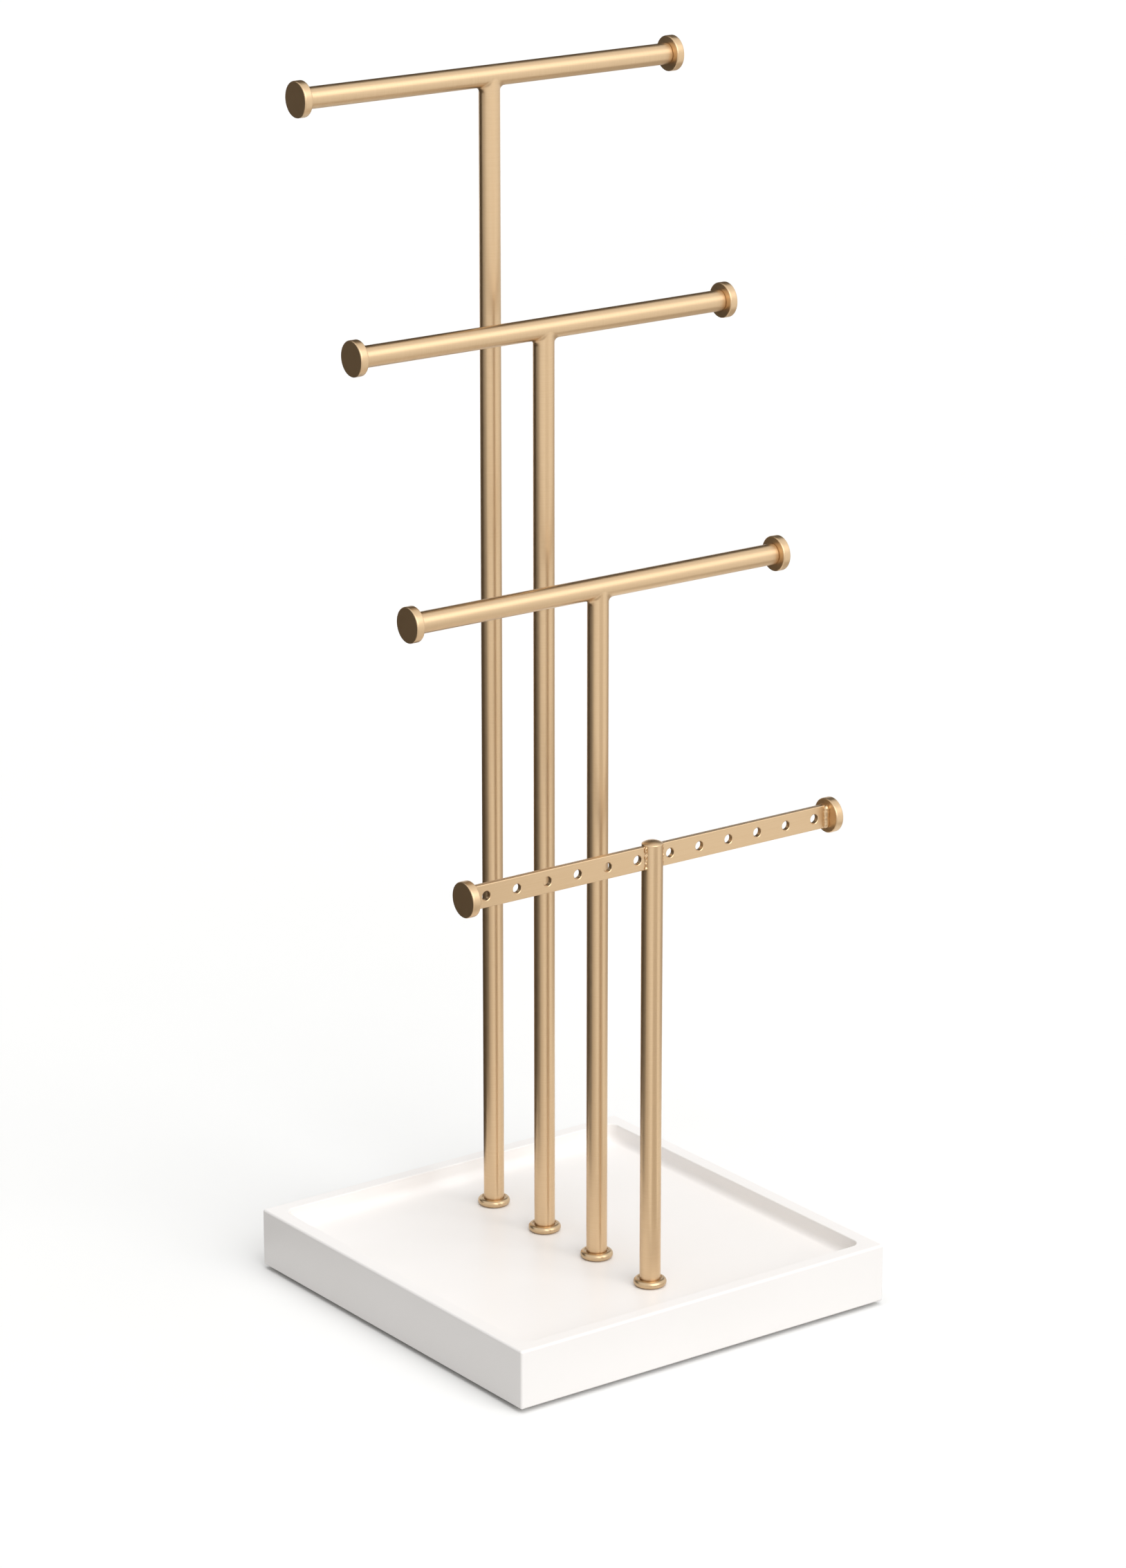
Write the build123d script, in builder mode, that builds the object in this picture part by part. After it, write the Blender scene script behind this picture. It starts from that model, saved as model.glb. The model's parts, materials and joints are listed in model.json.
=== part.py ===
from build123d import *
import os

os.makedirs("parts", exist_ok=True)

# Jewelry tree: four T-stands in a row on a square routed tray, each held by one screw from beneath.
# Millimetres. The origin is under the tray's centre, X runs along the bars, Y to the back and Z up.

# Overall sizes
overall_height = 419.1
bar_span = 152.4
tray_side = 152.4

# Tray
tray_height = 20.5
rim_width = 5.5
recess_depth = 6.0
recess_corner_radius = 4.0
recess_cove_radius = 2.5
tray_edge_radius = 0.8
rim_edge_radius = 0.4
tray_foot_chamfer = 0.5

# Foot pads under the tray's corners
pad_diameter = 12.0
pad_height = 1.5
pad_inset = 8.0
pad_chamfer = 0.3

# Row of stands, tallest at the back; heights are of the bar axes over the ground
stand_pitch = 30.0
upper_bar_height = 334.0
middle_bar_height = 252.5
earring_bar_height = 168.0

# Tube stock of the bars and posts, and the weld where they meet
tube_diameter = 7.2
tube_wall = 1.0
cope_inset = 0.05
weld_radius = 1.2
weld_reach = 4.0

# End caps of the round bars, and the discs of the flat bar
cap_lip = 2.4
cap_thickness = 3.0
cap_edge_radius = 0.4
spigot_length = 8.0
spigot_chamfer = 0.5
bar_end_chamfer = 0.35

# Flat earring bar
strip_height = 8.0
strip_thickness = 2.0
strip_edge_radius = 0.3
hole_diameter = 3.2
hole_post_gap = 1.55
hole_end_gap = 4.0
holes_each_side = 6
end_bead_radius = 1.0
post_bead_radius = 0.65

# Domed plug of the earring post
plug_rim_height = 0.4
plug_dome_rise = 1.1
plug_edge_radius = 0.35
plug_spigot_length = 3.0

# Foot of each stand
foot_depth = 5.0
collar_width = 2.05
collar_height = 2.6
collar_groove_width = 0.4
collar_groove_depth = 0.5
insert_length = 10.0
insert_wall = 0.45
thread_length = 8.0
washer_lip = 0.5
washer_thickness = 0.8
head_width_share = 2.0
head_height_share = 0.6
head_edge_share = 0.5
recess_width_share = 0.25
recess_length_share = 0.55
recess_depth_share = 0.5
head_sink = 0.5

# Clearances, all to one side, and the overrun of the cuts
seat_clearance = 0.05
swivel_clearance = 0.1
foot_clearance = 0.2
screw_clearance = 0.25
counterbore_clearance = 0.6
overrun = 1.0

# Sizes that follow
tube_radius = tube_diameter / 2
bar_bore_radius = tube_radius - tube_wall
post_radius = tube_radius - cope_inset
post_bore_radius = post_radius - tube_wall
cap_radius = tube_radius + cap_lip
bar_length = bar_span - 2 * cap_thickness
top_bar_height = overall_height - cap_radius
strip_top = earring_bar_height + strip_height / 2
strip_bottom = earring_bar_height - strip_height / 2

insert_radius = post_bore_radius - seat_clearance
screw_radius = insert_radius - insert_wall - seat_clearance
head_radius = screw_radius * head_width_share
head_height = 2 * screw_radius * head_height_share
washer_radius = head_radius + washer_lip
screw_hole_radius = screw_radius + screw_clearance
counterbore_radius = washer_radius + counterbore_clearance
counterbore_depth = washer_thickness + head_height + head_sink

tray_bottom = pad_height
tray_top = tray_bottom + tray_height
tray_floor = tray_top - recess_depth
recess_side = tray_side - 2 * rim_width
post_foot = tray_floor - foot_depth
socket_floor = post_foot - foot_clearance
counterbore_top = tray_bottom + counterbore_depth
head_top = counterbore_top - washer_thickness

# Stands from back to front, with each one's place in the row as a share of the pitch
row_shares = {"top": 1.5, "upper": 0.5, "middle": -0.5, "earring": -1.5}
stand_places = {name: share * stand_pitch for name, share in row_shares.items()}
bar_heights = {"top": top_bar_height, "upper": upper_bar_height, "middle": middle_bar_height}
sides = {"left": -1, "right": 1}
rows = {"front": -1, "back": 1}


def write_piece(piece, name):
    piece.part.label = name
    export_step(piece.part, f"parts/{name}.step")


# Tray: one routed block with a socket, a screw hole and a counterbore for each stand
sockets = [(0, place) for place in stand_places.values()]
with BuildPart() as tray:
    with BuildSketch(Plane.XY.offset(tray_bottom)):
        Rectangle(tray_side, tray_side)
    extrude(amount=tray_height)
    chamfer(tray.faces().sort_by(Axis.Z)[0].edges(), tray_foot_chamfer)
    fillet(tray.edges().filter_by(Axis.Z) + tray.faces().sort_by(Axis.Z)[-1].edges(), tray_edge_radius)
    with BuildSketch(Plane.XY.offset(tray_floor)):
        RectangleRounded(recess_side, recess_side, recess_corner_radius)
    extrude(amount=recess_depth + overrun, mode=Mode.SUBTRACT)
    fillet(tray.faces().filter_by(Axis.Z).group_by(Axis.Z)[1].edges(), recess_cove_radius)
    fillet(tray.faces().filter_by(Axis.Z).sort_by(Axis.Z)[-1].inner_wires()[0].edges(), rim_edge_radius)
    with BuildSketch(Plane.XY.offset(socket_floor)):
        with Locations(sockets):
            Circle(post_radius + swivel_clearance)
    extrude(amount=foot_depth + foot_clearance + overrun, mode=Mode.SUBTRACT)
    with BuildSketch(Plane.XY.offset(tray_bottom)):
        with Locations(sockets):
            Circle(screw_hole_radius)
    extrude(amount=socket_floor - tray_bottom + overrun, mode=Mode.SUBTRACT)
    with BuildSketch(Plane.XY.offset(counterbore_top)):
        with Locations(sockets):
            Circle(counterbore_radius)
    extrude(amount=-counterbore_depth - overrun, mode=Mode.SUBTRACT)
write_piece(tray, "tray")

# Foot pads: soft discs stuck under the corners
pad_place = tray_side / 2 - pad_inset - pad_diameter / 2
for row, along_y in rows.items():
    for side, along_x in sides.items():
        with BuildPart() as pad:
            with BuildSketch(Plane.XY):
                with Locations((along_x * pad_place, along_y * pad_place)):
                    Circle(pad_diameter / 2)
            extrude(amount=pad_height)
            chamfer(pad.edges().sort_by(Axis.Z)[0], pad_chamfer)
        write_piece(pad, f"foot_pad_{row}_{side}")


def make_foot(stand, place):
    """Collar, threaded insert, screw and washer that hold one stand's post to the tray."""
    post_axis = Axis((0, place, 0), (0, 0, 1))
    section = Plane.XZ.offset(-place)
    collar_bore = post_radius + seat_clearance
    groove_radius = collar_bore + collar_groove_width
    round_start = post_radius + collar_width - collar_height / 2
    collar_top = tray_floor + collar_height
    with BuildPart() as collar:
        with BuildSketch(section):
            with BuildLine():
                Polyline(
                    (round_start, collar_top),
                    (groove_radius, collar_top),
                    (groove_radius, collar_top - collar_groove_depth),
                    (collar_bore, collar_top - collar_groove_depth),
                    (collar_bore, tray_floor),
                    (round_start, tray_floor),
                )
                ThreePointArc(
                    (round_start, tray_floor),
                    (post_radius + collar_width, tray_floor + collar_height / 2),
                    (round_start, collar_top),
                )
            make_face()
        revolve(axis=post_axis)
    write_piece(collar, f"{stand}_collar")

    with BuildPart() as insert:
        with BuildSketch(Plane.XY.offset(post_foot)):
            with Locations((0, place)):
                Circle(insert_radius)
                Circle(screw_radius + seat_clearance, mode=Mode.SUBTRACT)
        extrude(amount=insert_length)
    write_piece(insert, f"{stand}_insert")

    with BuildPart() as screw:
        with BuildSketch(Plane.XY.offset(head_top)):
            with Locations((0, place)):
                Circle(head_radius)
        extrude(amount=-head_height)
        fillet(screw.edges().sort_by(Axis.Z)[0], head_height * head_edge_share)
        with BuildSketch(Plane.XY.offset(head_top)):
            with Locations((0, place)):
                Circle(screw_radius)
        extrude(amount=post_foot - head_top + thread_length)
        with BuildSketch(Plane.XY.offset(head_top - head_height)):
            with Locations((0, place)):
                Rectangle(head_radius * 2 * recess_length_share, head_radius * recess_width_share)
                Rectangle(head_radius * recess_width_share, head_radius * 2 * recess_length_share)
        extrude(amount=head_height * recess_depth_share, mode=Mode.SUBTRACT)
    write_piece(screw, f"{stand}_screw")

    with BuildPart() as washer:
        with BuildSketch(Plane.XY.offset(head_top)):
            with Locations((0, place)):
                Circle(washer_radius)
                Circle(screw_hole_radius, mode=Mode.SUBTRACT)
        extrude(amount=washer_thickness)
    write_piece(washer, f"{stand}_washer")


def make_round_stand(stand, place, height):
    """Round bar on a tube post whose coped top carries the weld fillet, with a cap in each bar end."""
    weld_half = tube_radius + weld_radius + weld_reach
    with BuildPart() as post:
        with BuildSketch(Plane.XY.offset(post_foot)):
            with Locations((0, place)):
                Circle(post_radius)
        extrude(amount=height - post_foot)
        with BuildSketch(Plane.YZ.offset(-weld_half)):
            with Locations((place, height)):
                Circle(tube_radius)
        extrude(amount=2 * weld_half)
        seam = post.edges().filter_by(lambda edge: edge.geom_type not in (GeomType.CIRCLE, GeomType.LINE))
        fillet(seam, weld_radius)
        with BuildSketch(Plane.YZ.offset(-weld_half - overrun)):
            with Locations((place, height)):
                Circle(tube_radius + seat_clearance)
        extrude(amount=2 * (weld_half + overrun), mode=Mode.SUBTRACT)
        with BuildSketch(Plane.XY.offset(post_foot)):
            with Locations((0, place)):
                Circle(post_bore_radius)
        extrude(amount=height - post_foot, mode=Mode.SUBTRACT)
    write_piece(post, f"{stand}_post")

    with BuildPart() as bar:
        with BuildSketch(Plane.YZ.offset(-bar_length / 2)):
            with Locations((place, height)):
                Circle(tube_radius)
                Circle(bar_bore_radius, mode=Mode.SUBTRACT)
        extrude(amount=bar_length)
        chamfer(bar.edges().filter_by(GeomType.CIRCLE).sort_by(SortBy.RADIUS)[-2:], bar_end_chamfer)
    write_piece(bar, f"{stand}_bar")

    for side, sign in sides.items():
        bar_end = Plane.YZ.offset(sign * bar_length / 2)
        with BuildPart() as cap:
            with BuildSketch(bar_end):
                with Locations((place, height)):
                    Circle(cap_radius)
            extrude(amount=sign * cap_thickness)
            fillet(cap.edges().filter_by(GeomType.CIRCLE), cap_edge_radius)
            with BuildSketch(bar_end):
                with Locations((place, height)):
                    Circle(bar_bore_radius - seat_clearance)
            extrude(amount=-sign * spigot_length)
            chamfer(cap.faces().sort_by(Axis.X)[-1 if sign < 0 else 0].edges(), spigot_chamfer)
        write_piece(cap, f"{stand}_cap_{side}")


def add_beads(places, radius, bottom, top):
    """Upright weld beads with round ends, added to the part being built."""
    middle = (bottom + top) / 2
    with Locations([(x, y, middle) for x, y in places]):
        Cylinder(radius, top - bottom)
    for end in (bottom, top):
        with Locations([(x, y, end) for x, y in places]):
            Sphere(radius)


def make_earring_stand(stand, place):
    """Flat pierced bar through the slotted top of a tube post, with a domed plug and a disc on each bar end."""
    half_strip = strip_thickness / 2
    half_slot = half_strip + seat_clearance
    slot_bottom = strip_bottom - seat_clearance
    corner_x = (post_radius**2 - half_slot**2) ** 0.5
    slot_reach = post_radius + post_bead_radius + overrun
    with BuildPart() as post:
        with BuildSketch(Plane.XY.offset(post_foot)):
            with Locations((0, place)):
                Circle(post_radius)
        extrude(amount=strip_top - post_foot)
        corners = [(x * corner_x, place + y * half_slot) for x in sides.values() for y in rows.values()]
        add_beads(corners, post_bead_radius, strip_bottom + post_bead_radius, strip_top - post_bead_radius)
        with BuildSketch(Plane.XY.offset(slot_bottom)):
            with Locations((0, place)):
                Rectangle(2 * slot_reach, 2 * half_slot)
        extrude(amount=strip_height + overrun, mode=Mode.SUBTRACT)
        with BuildSketch(Plane.XY.offset(post_foot)):
            with Locations((0, place)):
                Circle(post_bore_radius)
        extrude(amount=strip_top - post_foot, mode=Mode.SUBTRACT)
    write_piece(post, f"{stand}_post")

    plug_rim = strip_top + plug_rim_height
    with BuildPart() as plug:
        with BuildSketch(Plane.XZ.offset(-place)):
            with BuildLine():
                dome_radius = (post_radius**2 + plug_dome_rise**2) / (2 * plug_dome_rise)
                half_width = post_radius / 2
                half_rise = plug_dome_rise - dome_radius + (dome_radius**2 - half_width**2) ** 0.5
                spigot_radius = post_bore_radius - seat_clearance
                Polyline(
                    (0, plug_rim + plug_dome_rise),
                    (0, strip_top - plug_spigot_length),
                    (spigot_radius, strip_top - plug_spigot_length),
                    (spigot_radius, strip_top),
                    (post_radius, strip_top),
                    (post_radius, plug_rim),
                )
                ThreePointArc(
                    (post_radius, plug_rim),
                    (half_width, plug_rim + half_rise),
                    (0, plug_rim + plug_dome_rise),
                )
            make_face()
        revolve(axis=Axis((0, place, 0), (0, 0, 1)))
        fillet(plug.edges().filter_by(Plane.XY).sort_by(Axis.Z)[-1], plug_edge_radius)
        with BuildSketch(Plane.XY.offset(strip_top)):
            with Locations((0, place)):
                Rectangle(2 * post_radius, 2 * half_slot)
        extrude(amount=-plug_spigot_length - overrun, mode=Mode.SUBTRACT)
    write_piece(plug, f"{stand}_post_plug")

    first_hole = post_radius + hole_post_gap + hole_diameter / 2
    last_hole = bar_length / 2 - hole_end_gap - hole_diameter / 2
    hole_pitch = (last_hole - first_hole) / (holes_each_side - 1)
    hole_places = [
        (sign * (first_hole + number * hole_pitch), earring_bar_height)
        for sign in sides.values()
        for number in range(holes_each_side)
    ]
    back_face = Plane.XZ.offset(-place - half_strip)
    bead_x = bar_length / 2 - end_bead_radius / 2
    with BuildPart() as strip:
        with BuildSketch(back_face):
            with Locations((0, earring_bar_height)):
                Rectangle(bar_length, strip_height)
        extrude(amount=strip_thickness)
        fillet(strip.edges().filter_by(Axis.X), strip_edge_radius)
        with BuildSketch(back_face):
            with Locations(hole_places):
                Circle(hole_diameter / 2)
        extrude(amount=strip_thickness, mode=Mode.SUBTRACT)
        ends = [(x * bead_x, place + y * half_strip) for x in sides.values() for y in rows.values()]
        add_beads(ends, end_bead_radius, strip_bottom + end_bead_radius, strip_top - end_bead_radius)
        split(bisect_by=Plane.YZ.offset(bar_length / 2), keep=Keep.BOTTOM)
        split(bisect_by=Plane.YZ.offset(-bar_length / 2), keep=Keep.TOP)
    write_piece(strip, f"{stand}_bar")

    for side, sign in sides.items():
        with BuildPart() as disc:
            with BuildSketch(Plane.YZ.offset(sign * bar_length / 2)):
                with Locations((place, earring_bar_height)):
                    Circle(cap_radius)
            extrude(amount=sign * cap_thickness)
            fillet(disc.edges().filter_by(GeomType.CIRCLE), cap_edge_radius)
        write_piece(disc, f"{stand}_disc_{side}")


for stand, place in stand_places.items():
    make_foot(stand, place)
for stand, height in bar_heights.items():
    make_round_stand(stand, stand_places[stand], height)
make_earring_stand("earring", stand_places["earring"])
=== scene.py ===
"""Jewellery tree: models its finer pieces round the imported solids, finishes every surface and sets a studio."""
import json
import math

import bmesh
import bpy
from bpy.props import FloatProperty, FloatVectorProperty, PointerProperty
from mathutils import Matrix, Vector, noise

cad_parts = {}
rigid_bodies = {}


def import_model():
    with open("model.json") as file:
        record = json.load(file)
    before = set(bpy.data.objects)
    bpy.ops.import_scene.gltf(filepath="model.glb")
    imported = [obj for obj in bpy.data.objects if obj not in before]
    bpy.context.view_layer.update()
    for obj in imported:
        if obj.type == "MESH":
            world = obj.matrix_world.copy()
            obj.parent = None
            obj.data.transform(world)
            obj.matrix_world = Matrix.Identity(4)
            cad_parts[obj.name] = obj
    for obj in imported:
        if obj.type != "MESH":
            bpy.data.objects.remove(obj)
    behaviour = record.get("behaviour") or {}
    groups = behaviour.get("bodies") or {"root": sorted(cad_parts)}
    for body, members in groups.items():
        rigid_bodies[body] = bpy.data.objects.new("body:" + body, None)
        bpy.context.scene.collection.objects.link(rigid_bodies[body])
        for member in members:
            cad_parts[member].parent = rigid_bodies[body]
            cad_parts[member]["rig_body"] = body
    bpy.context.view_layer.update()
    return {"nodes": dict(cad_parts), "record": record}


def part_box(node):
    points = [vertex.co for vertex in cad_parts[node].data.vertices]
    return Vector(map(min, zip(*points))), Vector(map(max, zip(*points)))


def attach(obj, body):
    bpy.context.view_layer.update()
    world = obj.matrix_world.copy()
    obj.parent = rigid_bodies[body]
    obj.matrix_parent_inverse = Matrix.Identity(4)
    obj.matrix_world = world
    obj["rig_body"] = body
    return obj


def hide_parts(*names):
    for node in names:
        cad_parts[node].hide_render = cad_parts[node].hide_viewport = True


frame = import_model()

bl_info = {
    "name": "Jewellery Tree",
    "version": (1, 0, 0),
    "blender": (4, 5, 0),
    "location": "View3D > Sidebar > Jewellery Tree",
    "description": "Models and finishes a tray with four T-stands, and lights it",
    "category": "Object",
}

# One millimetre in scene units, how near counts as touching, and which gaps a boolean and a cut close
MM = 0.001
TOUCH = 0.004 * MM
MERGE_GAP = TOUCH / 4
CUT_GAP = TOUCH / 8

# How far a weld may feather out past its node, and how nearly a picked face has to look one way
STAND_OUT = 1.5 * MM
FACING = 0.9

# Earring holes of the record, which run through the flat bar
HOLES = [mount for mount in frame["record"]["mounts"] if mount["kind"] == "bore"]
STRIP_THICKNESS = HOLES[0]["dims"]["length_mm"] * MM

# Steps round a turned piece and round a small one, along the curves of a profile, and up a turn of thread
ROUND_STEPS = 96
SMALL_STEPS = 64
HOLE_STEPS = 48
HALF_ROUND_STEPS = 24
DOME_STEPS = 16
EDGE_STEPS = 4
WELD_STEPS = 8
THREAD_STEPS = 40

# Sides and rings of a weld bead's ends, and cuts along its length
BEAD_SIDES, BEAD_RINGS, BEAD_CUTS = 24, 13, 36

# The angle that still shades smooth, and whole and quarter turns
SMOOTH_ANGLE = math.radians(32)
FULL_TURN = 2 * math.pi
QUARTER_TURN = math.pi / 2

# Brushed lines as they are drawn: how far apart, how far one runs on a tube and on the strip, and a short grain
LINE_GAP = 0.3 * MM
TUBE_RUN = 9 * MM
STRIP_RUN = 14 * MM
SATIN_GRAIN = (0.35 * MM, 0.35 * MM, 0.35 * MM)

# Sockets of the colour mix node, which share their names with its number sockets
MIX_FIRST, MIX_SECOND, MIX_COLOUR = 6, 7, 2

# Where most values of a noise pattern lie
NOISE_LOW, NOISE_HIGH = 0.3, 0.7

ROUND_STANDS = ("top", "upper", "middle")
STANDS = ROUND_STANDS + ("earring",)
SIDES = {"left": -1, "right": 1}
ROWS = {"front": -1, "back": 1}

# Cards just over the floor that only the metal and the lacquer mirror: tone, and corners along X and Y in metres
CARD_LIFT = 2 * MM
FLOOR_CARDS = {
    "left_floor_card": ("dark", ((-1.8, 0.0), (-0.12, 0.0), (0.3, 1.4), (-1.8, 1.4))),
    "middle_floor_card": ("dark", ((-0.12, 0.09), (0.14, 0.09), (0.48, 1.4), (0.3, 1.4))),
    "left_near_card": ("grey", ((-1.8, -0.18), (-0.12, -0.18), (-0.12, 0.0), (-1.8, 0.0))),
    "right_floor_card": ("grey", ((0.2, -0.22), (1.6, -0.22), (1.6, 1.5), (0.5, 1.5))),
    "front_floor_card": ("grey", ((-0.03, -0.1), (0.05, -0.1), (0.52, -1.4), (-0.51, -1.4))),
}

# Upright cards behind the tree: tone, place along Y, and spans along X and Z in metres
UPRIGHT_CARDS = {
    "left_back_card": ("dark", 1.4, (-2.5, -0.2), (0.0, 1.2)),
    "back_card": ("brown", 0.5, (-0.3, 1.2), (0.38, 1.5)),
}


def linear(code):
    """Linear red, green, blue and alpha of an sRGB hex colour."""
    values = [int(code[start:start + 2], 16) / 255 for start in (0, 2, 4)]
    return [v / 12.92 if v <= 0.04045 else ((v + 0.055) / 1.055) ** 2.4 for v in values] + [1.0]


def middle_of(node):
    """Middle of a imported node's box."""
    low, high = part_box(node)
    return (low + high) / 2


def foot_of(node):
    """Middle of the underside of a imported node's box."""
    foot = middle_of(node)
    foot.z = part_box(node)[0].z
    return foot


def size_of(node):
    """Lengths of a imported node's box along X, Y and Z."""
    low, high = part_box(node)
    return high - low


# Settings

def length(name, description, millimetres):
    """A length, given in millimetres."""
    return FloatProperty(name=name, description=description, default=millimetres * MM, unit="LENGTH")


def colour(name, description, code):
    """A colour, given as an sRGB hex code."""
    return FloatVectorProperty(name=name, description=description, default=linear(code), size=4, subtype="COLOR")


def angle(name, description, degrees):
    """An angle, given in degrees."""
    return FloatProperty(name=name, description=description, default=math.radians(degrees), subtype="ANGLE")


def amount(name, description, value):
    """A plain number, such as a light's strength."""
    return FloatProperty(name=name, description=description, default=value)


class TreeSizes(bpy.types.PropertyGroup):
    """Lengths of the modelled pieces. What isn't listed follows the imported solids."""
    tube_wall: length("Tube wall", "Wall of the posts and round bars", 1.0)
    weld_radius: length("Weld radius", "Hollow of the weld under a round bar", 2.2)
    bar_end_round: length("Bar end round", "Rounding of a round bar's ends", 0.35)
    rim_round: length("Rim round", "Rounding of the end discs' rims", 0.4)
    spigot_chamfer: length("Spigot chamfer", "Lead-in of a cap's spigot", 0.5)
    strip_round: length("Strip round", "Rounding of the flat bar's long edges", 0.3)
    hole_lip: length("Hole lip", "Countersunk lip of an earring hole", 0.2)
    end_bead: length("End bead", "Radius of the weld bead at a disc", 1.3)
    post_bead: length("Post bead", "Radius of the weld bead at the post", 0.65)
    bead_lump: length("Bead lumps", "Unevenness of a weld bead", 0.5)
    plug_round: length("Plug round", "Rounding of the plug's rim", 0.35)
    plug_rim: length("Plug rim", "Upright part of the plug's rim", 0.4)
    groove_width: length("Groove width", "Groove between a foot ring and its post", 0.4)
    groove_depth: length("Groove depth", "Depth of a foot ring's groove", 0.3)
    seat_gap: length("Seat gap", "Gap between pieces that seat on each other", 0.05)
    foot_chamfer: length("Foot chamfer", "Lead-in of a post's foot", 0.3)
    thread_pitch: length("Thread pitch", "Pitch of the fixing screws", 0.7)
    thread_depth: length("Thread depth", "Depth of the screws' thread", 0.36)
    washer_round: length("Washer round", "Rounding of a stamped washer", 0.15)
    knurl_depth: length("Knurl depth", "Depth of the rings round an insert", 0.15)
    pad_round: length("Pad round", "Rounding of a felt pad's lower rim", 0.4)
    pad_fuzz: length("Pad fuzz", "Unevenness of the felt", 0.05)


class TreeColours(bpy.types.PropertyGroup):
    """Colours of the finishes, the floor and the studio cards."""
    lacquer: colour("Lacquer", "White lacquer of the tray", "FAF7F5")
    lacquer_shade: colour("Lacquer shade", "Deeper tone of the lacquer", "F7F4F1")
    gold: colour("Gold", "Champagne gold plating", "DEC19C")
    gold_shade: colour("Gold shade", "Deeper tone of the plating", "D8BA93")
    ring_gold: colour("Ring gold", "Polished gold of the foot rings", "D2B894")
    ring_smudge: colour("Ring smudge", "Handled tone of the foot rings", "CAAE89")
    zinc: colour("Zinc", "Zinc plating of screws and washers", "BCBEC1")
    zinc_bloom: colour("Zinc bloom", "Yellowish bloom of the zinc", "C4BFAE")
    brass: colour("Brass", "Turned brass of the inserts", "CDA75B")
    brass_tarnish: colour("Brass tarnish", "Dull patches of the brass", "B08A48")
    felt: colour("Felt", "Wool felt of the pads", "C9C5BE")
    felt_fleck: colour("Felt fleck", "Darker fibres in the felt", "A9A49B")
    floor: colour("Floor", "Pale paper under the tree", "FBFBFA")
    floor_shade: colour("Floor shade", "Deeper tone of the paper", "F9F9F8")
    floor_bounce: colour("Floor bounce", "Tone of the light that the paper throws back", "D0CFCD")
    dark_card: colour("Dark card", "Studio cards at the left and behind", "4B443B")
    dark_card_shade: colour("Dark card shade", "Deeper tone of those cards", "453E36")
    brown_card: colour("Brown card", "Studio card behind the bars", "4C453C")
    brown_card_shade: colour("Brown card shade", "Deeper tone of that card", "463F37")
    grey_card: colour("Grey card", "Studio cards at the right and in front", "BCB4AA")
    grey_card_shade: colour("Grey card shade", "Deeper tone of those cards", "B5ADA3")


class TreeStudio(bpy.types.PropertyGroup):
    """Camera and lights."""
    lens: FloatProperty(
        name="Lens", description="Focal length on a 36 mm sensor", default=119.59, unit="CAMERA")
    camera_place: FloatVectorProperty(
        name="Camera place", description="Where the camera stands", default=(-0.9874, -1.3341, 0.7045),
        subtype="TRANSLATION", unit="LENGTH")
    camera_tilt: angle("Camera tilt", "How far the camera looks down", 17.495)
    camera_heading: angle("Camera heading", "Turn of the camera to the right", 36.417)
    key_from: FloatVectorProperty(
        name="Key from", description="Direction that the key light comes from", default=(0.03, -0.80, 0.60),
        subtype="DIRECTION")
    key_strength: amount("Key strength", "Strength of the key light", 1.5)
    key_spread: angle("Key spread", "How wide the key light is", 60)
    fill_strength: amount("Fill strength", "Strength of the wide light round the key", 0.45)
    fill_spread: angle("Fill spread", "How wide that light is", 110)
    top_strength: amount("Top strength", "Strength of the light overhead", 1.19)
    top_spread: angle("Top spread", "How wide the light overhead is", 60)
    sky_strength: amount("Sky strength", "Strength of the even light", 0.32)
    backdrop_strength: amount("Backdrop strength", "How white the studio looks in picture and metal", 1.0)
    floor_side: length("Floor side", "Side of the paper floor", 14000)


# Modelling steps that the pieces share

def leave_edit():
    """Go back to object mode with nothing selected."""
    if bpy.context.mode != "OBJECT":
        bpy.ops.object.mode_set(mode="OBJECT")
    bpy.ops.object.select_all(action="DESELECT")


def select_only(piece):
    """Go back to object mode with one piece selected and active."""
    leave_edit()
    piece.select_set(True)
    bpy.context.view_layer.objects.active = piece


def begin_piece(name, add_primitive, **settings):
    """Add a primitive with nothing else selected, put its place into its mesh and open it for editing."""
    leave_edit()
    add_primitive(**settings)
    piece = bpy.context.object
    piece.name = name
    piece.data.name = name
    bpy.ops.object.transform_apply(location=True, rotation=True, scale=True)
    bpy.ops.object.mode_set(mode="EDIT")
    bpy.ops.mesh.select_mode(type="VERT")
    return piece


def pick(kind, test):
    """Select the vertices, edges or faces of the open piece that pass a test."""
    bpy.ops.mesh.select_mode(type=kind)
    bpy.ops.mesh.select_all(action="DESELECT")
    mesh = bmesh.from_edit_mesh(bpy.context.object.data)
    for part in {"VERT": mesh.verts, "EDGE": mesh.edges, "FACE": mesh.faces}[kind]:
        if test(part):
            part.select_set(True)
    mesh.select_flush_mode()
    bmesh.update_edit_mesh(bpy.context.object.data)


def round_edges(radius, steps=EDGE_STEPS):
    """Round the selected edges of the open piece."""
    bpy.ops.mesh.bevel(offset=radius, offset_type="OFFSET", segments=steps, profile=0.5, affect="EDGES")


def round_rings(centre, axis, radius, heights, rounding, steps=EDGE_STEPS):
    """Round the ring edges of the open piece at a radius about an axis, at the given heights."""
    def on_ring(vertex, wanted):
        offset = vertex.co - centre
        height = offset[axis]
        offset[axis] = 0
        return abs(offset.length - radius) < TOUCH and abs(height - wanted) < TOUCH
    pick("EDGE", lambda edge: any(all(on_ring(v, wanted) for v in edge.verts) for wanted in heights))
    round_edges(rounding, steps)


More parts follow.
